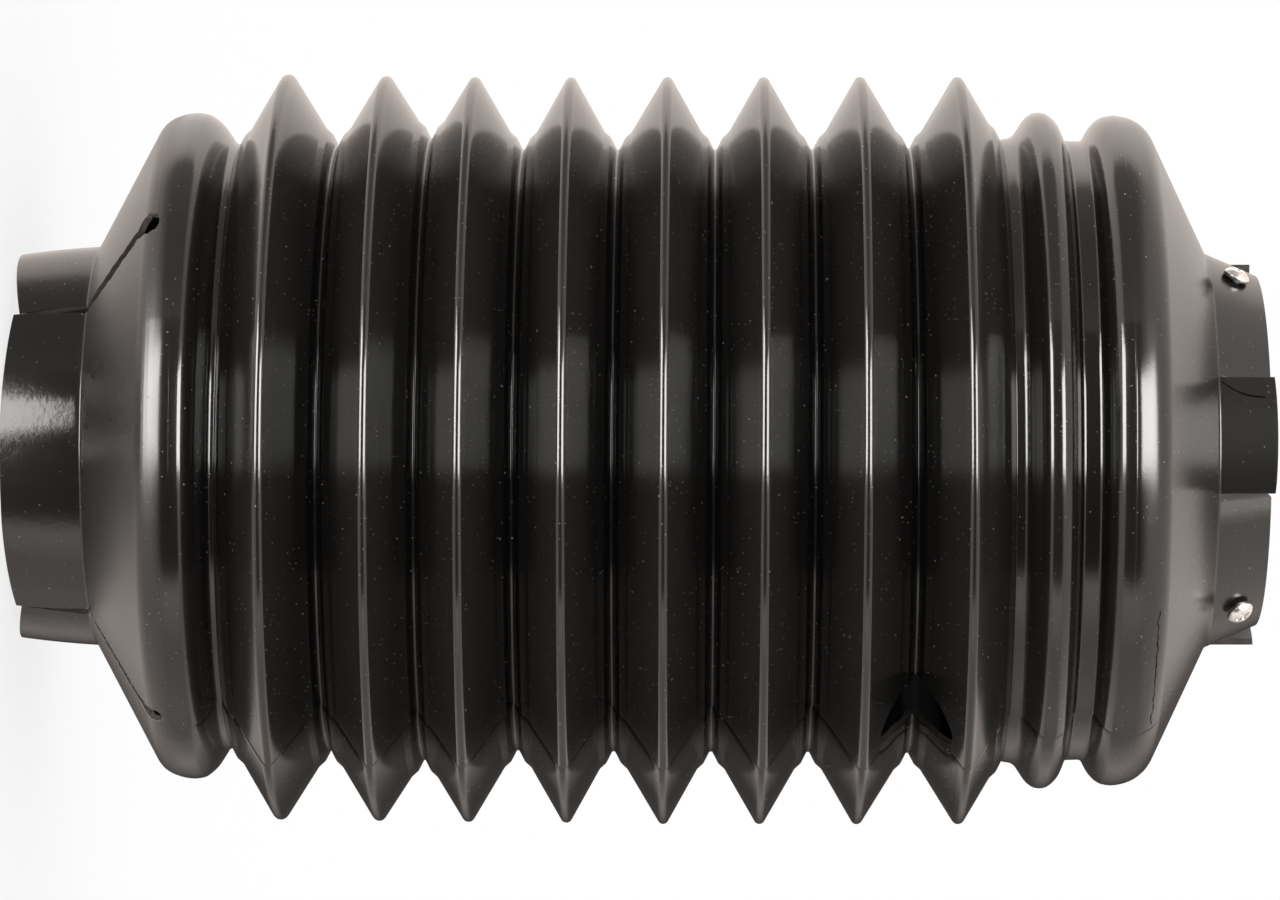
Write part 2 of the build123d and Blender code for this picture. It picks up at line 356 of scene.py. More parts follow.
# %% Open the slits and the hole
SLIT_SPAN, HOLE_SPAN = 12.0, 18.0  # how far round the columns give way, in degrees


def open_cut(turns, centre, shifted, half, span):
    """Columns moved aside so that the pair at centre stands half a width each side of shifted."""
    offset = (turns - centre + 180) % 360 - 180
    near = np.abs(offset) < span
    size = np.abs(offset)
    moved = half + (size - PAIR) * (span - half) / (span - PAIR)
    moved = np.where(size < PAIR, size * half / PAIR, moved)
    drift = (shifted - centre) * np.clip(1 - size / span, 0, 1)
    return np.where(near, turns - offset + np.sign(offset) * moved + drift, turns)


turns = np.tile(columns, (ROWS, 1))
for row, (radius, height) in enumerate(outline):
    if height <= SLIT_TOP + 0.01:
        up_cone = np.clip((height - COLLAR_CORNER) / (SLIT_TOP - COLLAR_CORNER), 0, 1)
        for number, (turn, drift) in enumerate(SLITS):
            half = degrees(slit_half_width(height, 2.0 * number) / radius)
            turns[row] = open_cut(turns[row], turn, turn + drift * up_cone, half, SLIT_SPAN)
    half_squared = HOLE_RADIUS ** 2 - (height - HOLE_HEIGHT) ** 2
    if half_squared > 0:
        half = degrees(asin(half_squared ** 0.5 / radius))
        turns[row] = open_cut(turns[row], HOLE_TURN, HOLE_TURN, half, HOLE_SPAN)
print("cuts opened on", int((np.abs(turns - columns).max(1) > 0.05).sum()), "rows")

# %% [markdown]
# ## Which cells are rubber
# A cell lies between two rows and two columns. On the real boot the blade took some rubber away
# at the slits and between the tabs, and a punch took the hole. The faces could be made first and
# deleted, but a table of true and false is quicker to ask later where the rims run.

# %% Mark the empty cells
solid = np.ones((ROWS - 1, COLUMNS), bool)
low, high = heights[:-1], heights[1:]


def column_at(turn):
    """The column nearest to a turn."""
    return int(np.argmin(np.abs(off_from(turn))))


for turn, _ in SLITS:
    solid[high <= SLIT_TOP + 0.01, column_at(turn - PAIR)] = False
in_hole = (low > HOLE_HEIGHT - HOLE_RADIUS) & (high < HOLE_HEIGHT + HOLE_RADIUS)
solid[in_hole, column_at(HOLE_TURN - PAIR)] = False
for middle in TAB_MIDDLES:
    for start in (middle - STRAIGHT_HALF - TAB_GAP, middle + STRAIGHT_HALF):
        solid[low >= TAB_CORNER, column_at(start)] = False
print(int((~solid).sum()), "cells left out of", solid.size)

# %% [markdown]
# ## Bent tabs, straight tabs and bowed leaves
# The three wide tabs lean in from the collar's corner and have rounded corners; the three straight
# ones between them bulge at their ends. The leaves of the other collar bow, since they were pressed
# round a shaft. A Simple Deform modifier bends a whole mesh at once, so each bend here is a formula
# that moves the points of its own columns.

# %% Bend the tabs and bow the leaves
LEAN = radians(23.3)
TAB_LENGTH, TAB_STRETCH = 18.2, 1.0557
TAB_BULGE, TAB_ROUNDING = 0.7, 2.4
TAB_ARC = 60  # mean radius of a leaned tab
TAB_TURN = 60  # degrees from the middle of a straight tab to that of the next bent one
BENT_HALF = TAB_TURN - STRAIGHT_HALF - TAB_GAP
LEAVES = [  # turn of the middle, half width in degrees, bow of the ends in mm
    (6.5, 48.5, 2.4), (96.5, 41.5, 4.2), (-173.5, 48.5, 2.4), (-83.5, 41.5, 4.4),
]


def bulge_straight_tabs(height, base):
    """Heights with the ends of the straight tabs bulged; base is the outline's own height."""
    for middle in TAB_MIDDLES:
        off = off_from(middle)
        straight = (np.abs(off) <= STRAIGHT_HALF + 0.01)[None, :] & (base > TAB_CORNER)
        along_tab = (height - TAB_CORNER) / TAB_LENGTH
        bulge = TAB_BULGE * along_tab * (1 - (off / STRAIGHT_HALF) ** 2)[None, :]
        height = np.where(straight, height + bulge, height)
    return height


def lean_bent_tabs(radius, height, base):
    """Radii and heights with the wide tabs leaned in and their corners rounded."""
    for middle in TAB_MIDDLES:
        off = off_from(middle + TAB_TURN)
        bent = (np.abs(off) <= BENT_HALF + 0.01)[None, :] & (base > TAB_CORNER + 0.01)
        to_edge = np.maximum(BENT_HALF - np.abs(off), 0) * pi / 180 * TAB_ARC
        inset = np.maximum(TAB_ROUNDING - to_edge, 0)
        trim = TAB_ROUNDING - np.sqrt(np.maximum(TAB_ROUNDING ** 2 - inset ** 2, 0))
        reach = (height - TAB_CORNER) * (TAB_STRETCH - trim[None, :] / TAB_LENGTH)
        out = radius - TAB_RADIUS
        leaned = TAB_RADIUS + out * cos(LEAN) - reach * sin(LEAN)
        raised = TAB_CORNER + out * sin(LEAN) + reach * cos(LEAN)
        radius, height = np.where(bent, leaned, radius), np.where(bent, raised, height)
    return radius, height


leaf_bow = np.zeros(COLUMNS)
for middle, half, rise in LEAVES:
    off = np.abs(off_from(middle))
    leaf_bow = np.where(off <= half + 0.01, rise * (off / half) ** 2, leaf_bow)
print("the leaves bow by up to", round(leaf_bow.max(), 1), "mm")

# %% [markdown]
# ## Bending the sheet into the boot
# Every point now gets its place. The folds tilt slightly and the axis sags a millimetre or two at
# the leaf end, as in a boot that has lain on a shelf. The halves of the outer mould met a third of
# a millimetre out of step, which leaves a small jog in every crest and a nick along the parting
# line. A Lattice could bend the whole boot, but tables of height against shift say what is meant.

# %% Place a skin of points
TILT = [  # height, and how far the boot's far side drops there
    (0, 0.3), (59, 0.5), (73, 1.2), (151, 0.95), (185, 0.62), (250, 0.58), (281, 0.45),
    (314, -0.25), (340, -0.4), (365, 0.2), (414, 0.0),
]
SAG = [  # height, and how far the axis has moved towards +X there
    (0, -1.6), (59, -1.6), (88, -1.2), (121, -0.7), (151, -0.35), (215, 0.0), (414, 0.0),
]
MOULD_FOOT, MOULD_TOP, MOULD_FADE = 60, 376, 4  # the parting line runs between these heights
MOULD_JOG, PARTING_NICK = 0.3, 0.38


def smooth_step(value, low, high):
    """0 below low, 1 above high, and an S curve between."""
    share = np.clip((value - low) / (high - low), 0, 1)
    return share * share * (3 - 2 * share)


def second_half(base):
    """1 on the side that the second half of the outer mould shaped, and 0 on the other."""
    first, second = PARTING
    half = smooth_step(turns, first - SEAM_NEAR, first + SEAM_NEAR)
    half = half + 1 - smooth_step(turns, second - SEAM_NEAR, second + SEAM_NEAR)
    half = half * smooth_step(base, MOULD_FOOT - MOULD_FADE, MOULD_FOOT + MOULD_FADE)
    return half * (1 - smooth_step(base, MOULD_TOP - MOULD_FADE, MOULD_TOP + MOULD_FADE))


def place(depth):
    """World points, in metres, of the skin that lies depth millimetres inside the outside."""
    at_parting = np.min([np.abs(off_from(turn)) for turn in PARTING], axis=0) < SEAM_NEAR + 0.05
    moulded = (heights > MOULD_FOOT) & (heights < MOULD_TOP)
    nick = PARTING_NICK * at_parting[None, :] * moulded[:, None]
    lift = np.where(depth == 0, relief[:, None] - nick, 0.0) - depth
    radius = outline[:, :1] + lift * faces_out[:, :1]
    height = outline[:, 1:] + lift * faces_out[:, 1:]
    base = np.repeat(heights[:, None], COLUMNS, 1)
    height = bulge_straight_tabs(height, base)
    radius, height = lean_bent_tabs(radius, height, base)
    height = height + leaf_bow[None, :] * np.clip(1 - base / COLLAR_CORNER, 0, 1)
    angle = np.radians(turns)
    tilt = np.interp(base, *zip(*TILT))
    height = height - tilt * np.sin(angle) - MOULD_JOG * second_half(base)
    x = radius * np.sin(angle) + np.interp(base, *zip(*SAG))
    return np.stack([x, -radius * np.cos(angle), height], axis=-1) * MM


WALL = 2.2
outside, inside = place(0.0), place(WALL)
for name, corner in (("from", outside.min((0, 1))), ("to", outside.max((0, 1)))):
    print("outside", name, np.round(corner / MM, 1), "mm")

# %% [markdown]
# ## Shading directions
# Black gloss is all reflection, so the direction that each point is shaded in matters more than
# its place. Blender's own smooth normals falter at the rims, where a face on one side is missing.
# So they are worked out here, from the faces that are there, and stored with the mesh.

# %% Directions of both skins
def unit(vectors):
    """Vectors of length one."""
    return vectors / np.maximum(np.linalg.norm(vectors, axis=-1, keepdims=True), 1e-12)


def skin_normals(points, outward):
    """Shading directions of a skin: each point's sum of its faces, the larger counting more."""
    following = np.roll(points, -1, axis=1)
    a, b, c, d = points[:-1], following[:-1], following[1:], points[1:]
    face = np.cross(c - a, d - b) * solid[..., None] * outward
    total = np.zeros_like(points)
    total[:-1] += face
    total[1:] += face
    total[:-1] += np.roll(face, 1, axis=1)
    total[1:] += np.roll(face, 1, axis=1)
    return unit(total)


outside_normals, inside_normals = skin_normals(outside, 1.0), skin_normals(inside, -1.0)
print("shading directions for", 2 * ROWS * COLUMNS, "points")

# %% [markdown]
# ## Where the rubber has sunk
# Moulded rubber shrinks as it cools. The flanks of the folds are a little hollow, the front leaf
# was pressed by a clamp, and a bent tab has a soft dent. None is deep enough to see in the
# outline, and only the way that they mirror the lamps gives them away. Moving the points by a
# tenth of a millimetre would do it, but turning the shading directions says the same, and keeps
# every row even.

# %% Turn the shading of sunk places
FLANK_HOLLOW, LEAF_PRESS, TAB_DENT = radians(3.6), radians(5.5), radians(11.0)
FLANK_STEEP, FLANK_DEPTH = 55, 17.6  # what counts as a flank: degrees, and mm below the crests


def patch(middle, half):
    """1 near a turn and 0 away from it, with soft ends."""
    return np.exp(-(((turns - middle) / half) ** 4))


def turned_up(normals, angle):
    """Directions turned towards the top, by an angle for each point."""
    outward = np.stack([np.sin(np.radians(turns)), -np.cos(np.radians(turns)), np.zeros_like(turns)], -1)
    upright = np.zeros_like(outward)
    upright[..., 2] = 1
    level, climb = (normals * outward).sum(-1, keepdims=True), normals[..., 2:]
    across = normals - outward * level - upright * climb
    c, s = np.cos(angle)[..., None], np.sin(angle)[..., None]
    return unit(outward * (level * c - climb * s) + upright * (level * s + climb * c) + across)


def turned_round(normals, angle):
    """Directions turned round the axis, by an angle for each point."""
    x, y, z = np.moveaxis(normals, -1, 0)
    c, s = np.cos(angle), np.sin(angle)
    return np.stack([x * c + y * s, y * c - x * s, z], axis=-1)


steep = np.degrees(np.arcsin(np.clip(faces_out[:, 1], -1, 1)))
below_crest = np.interp(heights, *zip(*FOLDS)) - outline[:, 0]
on_flank = (heights > 75) & (heights < 327) & (below_crest < FLANK_DEPTH) & (np.abs(steep) > FLANK_STEEP)
hollow = np.where(on_flank, -np.sign(steep) * FLANK_HOLLOW, 0.0)[:, None]
pressed = LEAF_PRESS * (heights < COLLAR_CORNER - 1)[:, None] * patch(-8.4, 5.6)
dented = TAB_DENT * (heights > TAB_CORNER)[:, None] * patch(18.5, 5.0)
outside_normals = turned_round(turned_up(outside_normals, hollow - pressed), dented)
print(int(on_flank.sum()), "rows lie on flanks")

# %% [markdown]
# ## Finding the rims
# The wall needs a rim wherever rubber meets air: round the slits, the hole, the tabs and both free
# ends. A Solidify modifier would add one, but its corners are knife-sharp and it knows nothing of
# the bent normals. A rim edge is a side of a solid cell whose neighbour is empty. The inside is
# seen only through the cuts, so away from them it keeps just the rows where it turns.

# %% Rim edges and inner rows
INNER_TURN = 24  # degrees that the inside may turn between two rows


def rim_edges():
    """Pairs of skin points along every rim, in the order that makes the rim face the air."""
    found = []
    for row in range(ROWS - 1):
        for column in np.nonzero(solid[row])[0]:
            after, before = (column + 1) % COLUMNS, (column - 1) % COLUMNS
            if row == 0 or not solid[row - 1, column]:
                found.append(((row, column), (row, after)))
            if row == ROWS - 2 or not solid[row + 1, column]:
                found.append(((row + 1, after), (row + 1, column)))
            if not solid[row, after]:
                found.append(((row, after), (row + 1, after)))
            if not solid[row, before]:
                found.append(((row + 1, column), (row, column)))
    return found


def near_cut(height):
    """Whether a row runs past a slit, the hole or the tabs."""
    by_hole = abs(height - HOLE_HEIGHT) < HOLE_RADIUS + 1
    return height < SLIT_TOP + 1 or by_hole or height > TAB_CORNER - 1


rims = rim_edges()
kept = [0]
for row in range(1, ROWS):
    turned_by = degrees(np.arccos(np.clip(faces_out[row] @ faces_out[kept[-1]], -1, 1)))
    if near_cut(heights[row]) or turned_by > INNER_TURN or row == ROWS - 1:
        kept.append(row)
print(len(rims), "rim edges;", len(kept), "rows on the inside")

# %% [markdown]
# ## Faces of the two skins
# The outside and the inside of the wall are two grids of four-sided faces. They could be made with
# bmesh, but plain lists of points and faces are quicker for nearly a hundred thousand of them.
# Each face also notes its finish: 0 is the polished skin, 1 the cut rubber and 2 the inside.

# %% Lay the two skins
SKIN, CUT, LINING = 0, 1, 2
verts = [tuple(p) for p in outside.reshape(-1, 3)] + [tuple(p) for p in inside.reshape(-1, 3)]
INNER = ROWS * COLUMNS  # the inside's points follow the outside's
polygons, loop_normals, finishes = [], [], []


def add_face(indices, normals, finish):
    """Note one face, the shading direction of each of its corners, and its finish."""
    polygons.append(indices)
    loop_normals.extend(tuple(n) for n in normals)
    finishes.append(finish)


for row in range(ROWS - 1):
    for column in np.nonzero(solid[row])[0]:
        after = (column + 1) % COLUMNS
        cell = [(row, column), (row, after), (row + 1, after), (row + 1, column)]
        add_face([r * COLUMNS + c for r, c in cell], [outside_normals[p] for p in cell], SKIN)
for row, upper in zip(kept, kept[1:]):
    for column in np.nonzero(solid[row])[0]:
        after = (column + 1) % COLUMNS
        cell = [(upper, column), (upper, after), (row, after), (row, column)]
        add_face([INNER + r * COLUMNS + c for r, c in cell], [inside_normals[p] for p in cell], LINING)
print(len(polygons), "faces on the two skins")

# %% [markdown]
# ## Rolled rims
# A cut edge of real rubber is never knife-sharp: its corner catches a thin line of light. A Bevel
# modifier would give that, but it can't follow the stored shading. So two short steps roll the
# corner over a fifth of a millimetre, and a flat band goes from there to the inside.

# %% Roll and close the rims
ROLL = 0.2 * MM
ROLL_STEPS = ((0.65, 0.2), (1.0, 1.0))  # shares of ROLL outwards and down at each step

away = {}
for first, second in rims:
    run = outside[second] - outside[first]
    out = np.cross(run, outside_normals[first] + outside_normals[second])
    for key in (first, second):
        away[key] = away.get(key, 0) + unit(out)
rolled = {}
for key, direction in away.items():
    out, up = unit(direction), outside_normals[key]
    steps = []
    for outwards, down in ROLL_STEPS:
        verts.append(tuple(outside[key] + (out * outwards - up * down) * ROLL))
        steps.append(len(verts) - 1)
    rolled[key] = (steps, unit(out + up), out)
for first, second in rims:
    (steps_1, half_1, out_1), (steps_2, half_2, out_2) = rolled[first], rolled[second]
    up_1, up_2 = outside_normals[first], outside_normals[second]
    edge_1, edge_2 = first[0] * COLUMNS + first[1], second[0] * COLUMNS + second[1]
    add_face([edge_2, edge_1, steps_1[0], steps_2[0]], [up_2, up_1, half_1, half_2], SKIN)
    add_face([steps_2[0], steps_1[0], steps_1[1], steps_2[1]], [half_2, half_1, out_1, out_2], SKIN)
    add_face([steps_2[1], steps_1[1], INNER + edge_1, INNER + edge_2], [out_2, out_1, out_1, out_2], CUT)
print(len(rolled), "rim points rolled over")

# %% [markdown]
# ## The boot as a Blender object
# The boot is one moulding, so it becomes one object. Points that no face uses, such as those in
# the middle of a cut, are dropped first, because loose points count in a model's size.

# %% Build the boot's mesh
used = sorted({point for face in polygons for point in face})
renumber = {old: new for new, old in enumerate(used)}
verts = [verts[point] for point in used]
polygons = [[renumber[point] for point in face] for face in polygons]
boot_mesh = bpy.data.meshes.new("bellows_skin")
boot_mesh.from_pydata(verts, [], polygons)
boot_mesh.polygons.foreach_set("material_index", finishes)
boot_mesh.polygons.foreach_set("use_smooth", [True] * len(polygons))
boot_mesh.normals_split_custom_set(loop_normals)
boot_mesh.update()
boot = bpy.data.objects.new("bellows_skin", boot_mesh)
bpy.context.scene.collection.objects.link(boot)
print("boot:", len(verts), "points,", 2 * len(polygons), "triangles")

# %% [markdown]
# ## Writing materials with nodes
# Every finish here is a small tree of shader nodes. They could be dragged together in the Shader
# Editor; written down, they need four helpers: one that adds a node, one that feeds a number or a
# link into a socket, one for a sum and one that maps a range of values onto another.

# %% Node helpers
def feed(value, socket):
    """Link an output into a socket, or write a number or a colour there."""
    if isinstance(value, bpy.types.NodeSocket):
        tree.links.new(value, socket)
    else:
        socket.default_value = value


def add(kind, **values):
    """A new node in the current tree, its sockets and settings given by name."""
    made = tree.nodes.new("ShaderNode" + kind)
    for name, value in values.items():
        if name in made.inputs:
            feed(value, made.inputs[name])
        else:
            setattr(made, name, value)
    return made


def maths(operation, *terms):
    """One sum, with outputs or numbers as its terms."""
    made = add("Math", operation=operation)
    for term, socket in zip(terms, made.inputs):
        feed(term, socket)
    return made.outputs["Value"]


def between(value, low, high, first=0.0, second=1.0, smooth=False):
    """A value that runs from first to second as another runs from low to high."""
    made = add("MapRange", interpolation_type="SMOOTHSTEP" if smooth else "LINEAR", Value=value)
    for entry, number in (("From Min", low), ("From Max", high), ("To Min", first), ("To Max", second)):
        made.inputs[entry].default_value = number
    return made.outputs["Result"]


def new_material(name):
    """A material, its node tree and its main shader."""
    material = bpy.data.materials.new(name)
    material.use_nodes = True
    return material, material.node_tree, material.node_tree.nodes["Principled BSDF"]


print("node helpers ready for Blender", bpy.app.version_string)

# %% [markdown]
# ## Glossy black rubber
# The boot is black rubber with a moulded gloss. Nearly nothing of it is colour: what shows is the
# room, mirrored weakly where the surface faces us and strongly where it turns away. One roughness
# for the whole boot would look like plastic. So a soft noise clouds it where hands have dulled it,
# both cones have a satin skin, and the leaves are polished by the clamp.

# %% Gloss of the rubber
# Heights in metres: each finish starts at the first and is complete at the second.
LEAF_SATIN, TAB_SATIN = (0.0585, 0.0535), (0.3655, 0.3705)
LEAF_POLISH = (0.028, 0.025)

rubber, tree, shader = new_material("glossy_rubber")
shader.inputs["IOR"].default_value = 1.5
place_at = add("TexCoord").outputs["Object"]
axes = add("SeparateXYZ", Vector=place_at).outputs
clouds = add("TexNoise", Scale=14.0, Detail=4.0, Roughness=0.6, Vector=place_at).outputs["Fac"]
gloss = between(clouds, 0.35, 0.75, 0.12, 0.19)
satin_leaf = between(axes["Z"], *LEAF_SATIN, smooth=True)
satin_tab = between(axes["Z"], *TAB_SATIN, smooth=True)
leaf_part = between(axes["Z"], *LEAF_POLISH)
duller = maths("MULTIPLY", maths("ADD", satin_leaf, maths("MULTIPLY", satin_tab, 0.5)), 0.14)
keener = maths("MULTIPLY", leaf_part, -0.12)
worn = maths("ADD", maths("ADD", gloss, duller), keener)
print(len(tree.nodes), "nodes so far")

# %% [markdown]
# ## Dust
# Dust is what makes new rubber look real: it is pale, matt and lies in single specks. A particle
# system could strew it, but a Voronoi texture is lighter: it gives one point per cell, and only
# some cells, chosen by their own random colour, show a speck at that point.

# %% Dust specks
def specks(scale, size, share):
    """A mask that is 1 on small dots of this size, in this share of the cells."""
    cells = add("TexVoronoi", Scale=scale, Vector=place_at)
    dot = between(cells.outputs["Distance"], size * scale, size * scale * 0.4)
    cell_colour = add("SeparateColor", Color=cells.outputs["Color"])
    return maths("MULTIPLY", dot, maths("LESS_THAN", cell_colour.outputs["Red"], share))


dust = maths("MAXIMUM", specks(290.0, 0.00032, 0.17), specks(620.0, 0.00020, 0.30))
feed(maths("MULTIPLY_ADD", dust, 0.5, worn), shader.inputs["Roughness"])
print(len(tree.nodes), "nodes with the dust")

# %% [markdown]
# ## Painted shade in the grooves
# Light hardly reaches the bottom of a groove, so that shade is painted into the colour: the black
# deepens towards the axis, except on the satin cones. A vertex colour could say so, but the distance
# from the axis already does.

# %% Painted shade by depth
# The first black is painted shade at the bottoms of the grooves; the second is the rubber's own black.
GROOVE_SHADE_BLACK, UNSHADED_BLACK = (0.0042, 0.0039, 0.0036, 1), (0.0142, 0.0133, 0.0120, 1)
DUST_COLOUR = (0.36, 0.34, 0.32, 1)

spread = add("VectorMath", operation="MULTIPLY")
feed(place_at, spread.inputs[0])
feed((1, 1, 0), spread.inputs[1])
from_axis = add("VectorMath", operation="LENGTH")
feed(spread.outputs["Vector"], from_axis.inputs[0])
radius_of = from_axis.outputs["Value"]
# Painted shade: the black darkens from 120 mm to 101 mm from the axis, but not on the satin cones.
outside_groove_shade = maths("MAXIMUM", between(radius_of, 0.101, 0.120), maths("ADD", satin_leaf, satin_tab))
black = add("Mix", data_type="RGBA", Factor=outside_groove_shade, A=GROOVE_SHADE_BLACK, B=UNSHADED_BLACK)
# Real dust specks over the painted groove shade.
dust_and_groove_shade = add("Mix", data_type="RGBA", Factor=dust, A=black.outputs["Result"], B=DUST_COLOUR)
print("the black is", round(UNSHADED_BLACK[0] / GROOVE_SHADE_BLACK[0], 1), "times paler in the open")

# %% [markdown]
# ## How strongly each part mirrors
# The flanks mirror a little less than the crests, a painted shade between the folds, and least of all
# on the +X side, which is underneath as the boot is shown. The leaves mirror less on the other side,
# a painted shade on their upper half. Two materials would leave a hard line between them, so one
# value slides from part to part.

# %% Strength of the mirror
CREST_LEVEL, SHADED_FLANK_LEVEL = 0.5, 0.38
CREST_EDGE = (0.1222, 0.1238)  # from flank to crest, in metres from the axis
UNDERSIDE_SHADE_LOSS, LEAF_SHADE_LOSS = -0.18, -0.45

# Painted shade: the flanks mirror less than the crests, and less again on the +X side.
crest_gloss = between(radius_of, *CREST_EDGE, SHADED_FLANK_LEVEL, CREST_LEVEL)
on_folds = maths("MULTIPLY", between(axes["Z"], 0.072, 0.076), between(axes["Z"], 0.329, 0.325))
underside_painted_shade = maths("MULTIPLY", between(radius_of, *CREST_EDGE[::-1]), between(axes["X"], 0.066, 0.084))
fold_level = maths("ADD", crest_gloss, maths("MULTIPLY", underside_painted_shade, UNDERSIDE_SHADE_LOSS))
level = add("Mix", Factor=on_folds, A=CREST_LEVEL, B=fold_level).outputs["Result"]
# Painted shade: the upper half of the leaves, towards -X, mirrors less.
leaf_painted_shade = maths("MULTIPLY", leaf_part, between(axes["X"], 0.010, -0.002))
leaf_painted_shade = maths("MULTIPLY_ADD", leaf_painted_shade, LEAF_SHADE_LOSS, 1.0)
print("mirror level", SHADED_FLANK_LEVEL, "on flanks and", CREST_LEVEL, "on crests")

# %% [markdown]
# ## Painted shade in a split and a crease
# Two hair-thin black lines are painted shade: one in a ragged split in the skin low on the tab
# side's shoulder, and one in a curved crease pressed into the front tab. They are too fine to
# model, and a painted texture for the whole boot would blur them. Each is a narrow band of a value
# made from position, and what lies in it loses both its colour and its gloss.

# %% Paint shade into the split and the crease
# Where the two lines of painted shade run, and how dark they are.
SPLIT_BAND, SPLIT_RUN, SPLIT_RAGGED = (0.37425, 0.37465), (0.051, 0.089), 0.0022
CREASE_RUN, CREASE_HALF = (0.3962, 0.4105), 0.00025
CREASE_BOW, CREASE_OFFSET = 0.0061, 0.0174
LINE_SHADE_DEPTH = -0.92


def within(value, low, high):
    """1 where a value lies between low and high, in metres."""
    return maths("MULTIPLY", maths("GREATER_THAN", value, low), maths("LESS_THAN", value, high))


front_side = maths("LESS_THAN", axes["Y"], -0.03)
ragged = add("TexNoise", Scale=260.0, Detail=3.0, Vector=place_at).outputs["Fac"]
split_height = maths("MULTIPLY_ADD", ragged, SPLIT_RAGGED, axes["Z"])
split_line = maths("MULTIPLY", within(split_height, *SPLIT_BAND), within(axes["X"], *SPLIT_RUN))
bow = maths("MULTIPLY", maths("POWER", between(axes["Z"], 0.4091, 0.3952), 2.0), CREASE_BOW)
from_crease = maths("ADD", maths("ADD", bow, axes["X"]), CREASE_OFFSET)
crease = maths("MULTIPLY", within(from_crease, -CREASE_HALF, CREASE_HALF), within(axes["Z"], *CREASE_RUN))
# Painted shade: both lines, on the front half only, lose their colour and most of their gloss.
painted_shade_lines = maths("MULTIPLY", maths("MAXIMUM", split_line, crease), front_side)
outside_shade_lines = maths("MULTIPLY_ADD", painted_shade_lines, LINE_SHADE_DEPTH, 1.0)
# The mirror level carries the painted shade of the flanks, the leaves and the two lines.
feed(maths("MULTIPLY", maths("MULTIPLY", level, outside_shade_lines), leaf_painted_shade), shader.inputs["Specular IOR Level"])
# The base colour: dust, painted shade in the grooves and painted shade in the two lines.
dust_and_shade_colour = add("VectorMath", operation="SCALE", Scale=outside_shade_lines)
feed(dust_and_groove_shade.outputs["Result"], dust_and_shade_colour.inputs[0])
feed(dust_and_shade_colour.outputs["Vector"], shader.inputs["Base Color"])
print("the split is", round((SPLIT_RUN[1] - SPLIT_RUN[0]) / MM), "mm long")

# %% [markdown]
# ## Fine relief
# Two layers of relief are too fine to model: the orange peel of the mould, and the coarse grain of
# the leaves where hands have worked them. Displacement would need millions of faces, so both share
# one Bump node, which only tips the shading.

# %% Orange peel and grain
peel = add("TexNoise", Scale=900.0, Detail=2.0, Vector=place_at).outputs["Fac"]
grain = add("TexNoise", Scale=420.0, Detail=5.0, Roughness=0.65, Vector=place_at).outputs["Fac"]
leaf_grain = maths("MULTIPLY", maths("MULTIPLY", grain, leaf_part), 7.0)
bump = add("Bump", Strength=0.06, Distance=0.0002, Height=maths("ADD", peel, leaf_grain))
feed(bump.outputs["Normal"], shader.inputs["Normal"])
print("glossy_rubber has", len(tree.nodes), "nodes")

# %% [markdown]
# ## Cut rubber
# Where the blade went through, the rubber is matt and dark, and in the torn pockets it is rough
# and catches dust. The same glossy finish would make the cut look moulded. So the rims have a
# material of their own, with a coarse noise that turns pale only below the tops of the slits.

# %% The cut rims
cut, tree, shader = new_material("cut_rubber")
place_at = add("TexCoord").outputs["Object"]
torn_height = add("SeparateXYZ", Vector=place_at).outputs["Z"]
grain = add("TexNoise", Scale=900.0, Detail=6.0, Roughness=0.7, Vector=place_at).outputs["Fac"]
torn = between(torn_height, 0.062, 0.058, 0.12, 1.0)
tone = add("Mix", data_type="RGBA", A=(0.008, 0.007, 0.006, 1), B=(0.16, 0.13, 0.115, 1))
feed(maths("MULTIPLY", grain, torn), tone.inputs["Factor"])
feed(tone.outputs["Result"], shader.inputs["Base Color"])
shader.inputs["Roughness"].default_value = 0.55
tear = add("Bump", Strength=0.8, Distance=0.0006, Height=grain)
feed(tear.outputs["Normal"], shader.inputs["Normal"])
print("cut_rubber has", len(tree.nodes), "nodes")

# %% [markdown]
# ## The moulded inside
# The inside was blown against nothing, so it is smooth, dull and nearly black, and it is seen only
# through the hole, the slits and the open ends. A plain colour would nearly do, but a slow noise
# between two blacks keeps it from looking flat. With it the boot has its three finishes.

# %% The inside, and the boot's place in the frame
lining, tree, shader = new_material("moulded_inside")
place_at = add("TexCoord").outputs["Object"]
haze = add("TexNoise", Scale=60.0, Detail=5.0, Vector=place_at).outputs["Fac"]
tone = add("Mix", data_type="RGBA", A=(0.0015, 0.0015, 0.0015, 1), B=(0.005, 0.0048, 0.0045, 1))
feed(haze, tone.inputs["Factor"])
feed(tone.outputs["Result"], shader.inputs["Base Color"])
shader.inputs["Roughness"].default_value = 0.5
for material in (rubber, cut, lining):
    boot_mesh.materials.append(material)
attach(boot, "root")
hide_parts("bellows_boot")
print("the boot has", len(boot_mesh.materials), "finishes")

# %% [markdown]
# ## Plated steel
# The screws are bright zinc on steel. A metal has no colour of its own but what it mirrors, so the
# shader is fully metallic, and one fine noise varies both its tone and its roughness, as years of
# fingers do.

# %% Finish of the screws
steel, tree, shader = new_material("plated_steel")
shader.inputs["Metallic"].default_value = 1.0
place_at = add("TexCoord").outputs["Object"]
wear = add("TexNoise", Scale=700.0, Detail=5.0, Vector=place_at).outputs["Fac"]
tone = add("Mix", data_type="RGBA", A=(0.52, 0.51, 0.49, 1), B=(0.82, 0.81, 0.79, 1))
feed(wear, tone.inputs["Factor"])
feed(tone.outputs["Result"], shader.inputs["Base Color"])
feed(between(wear, 0.0, 1.0, 0.18, 0.42), shader.inputs["Roughness"])
print("plated_steel has", len(tree.nodes), "nodes")

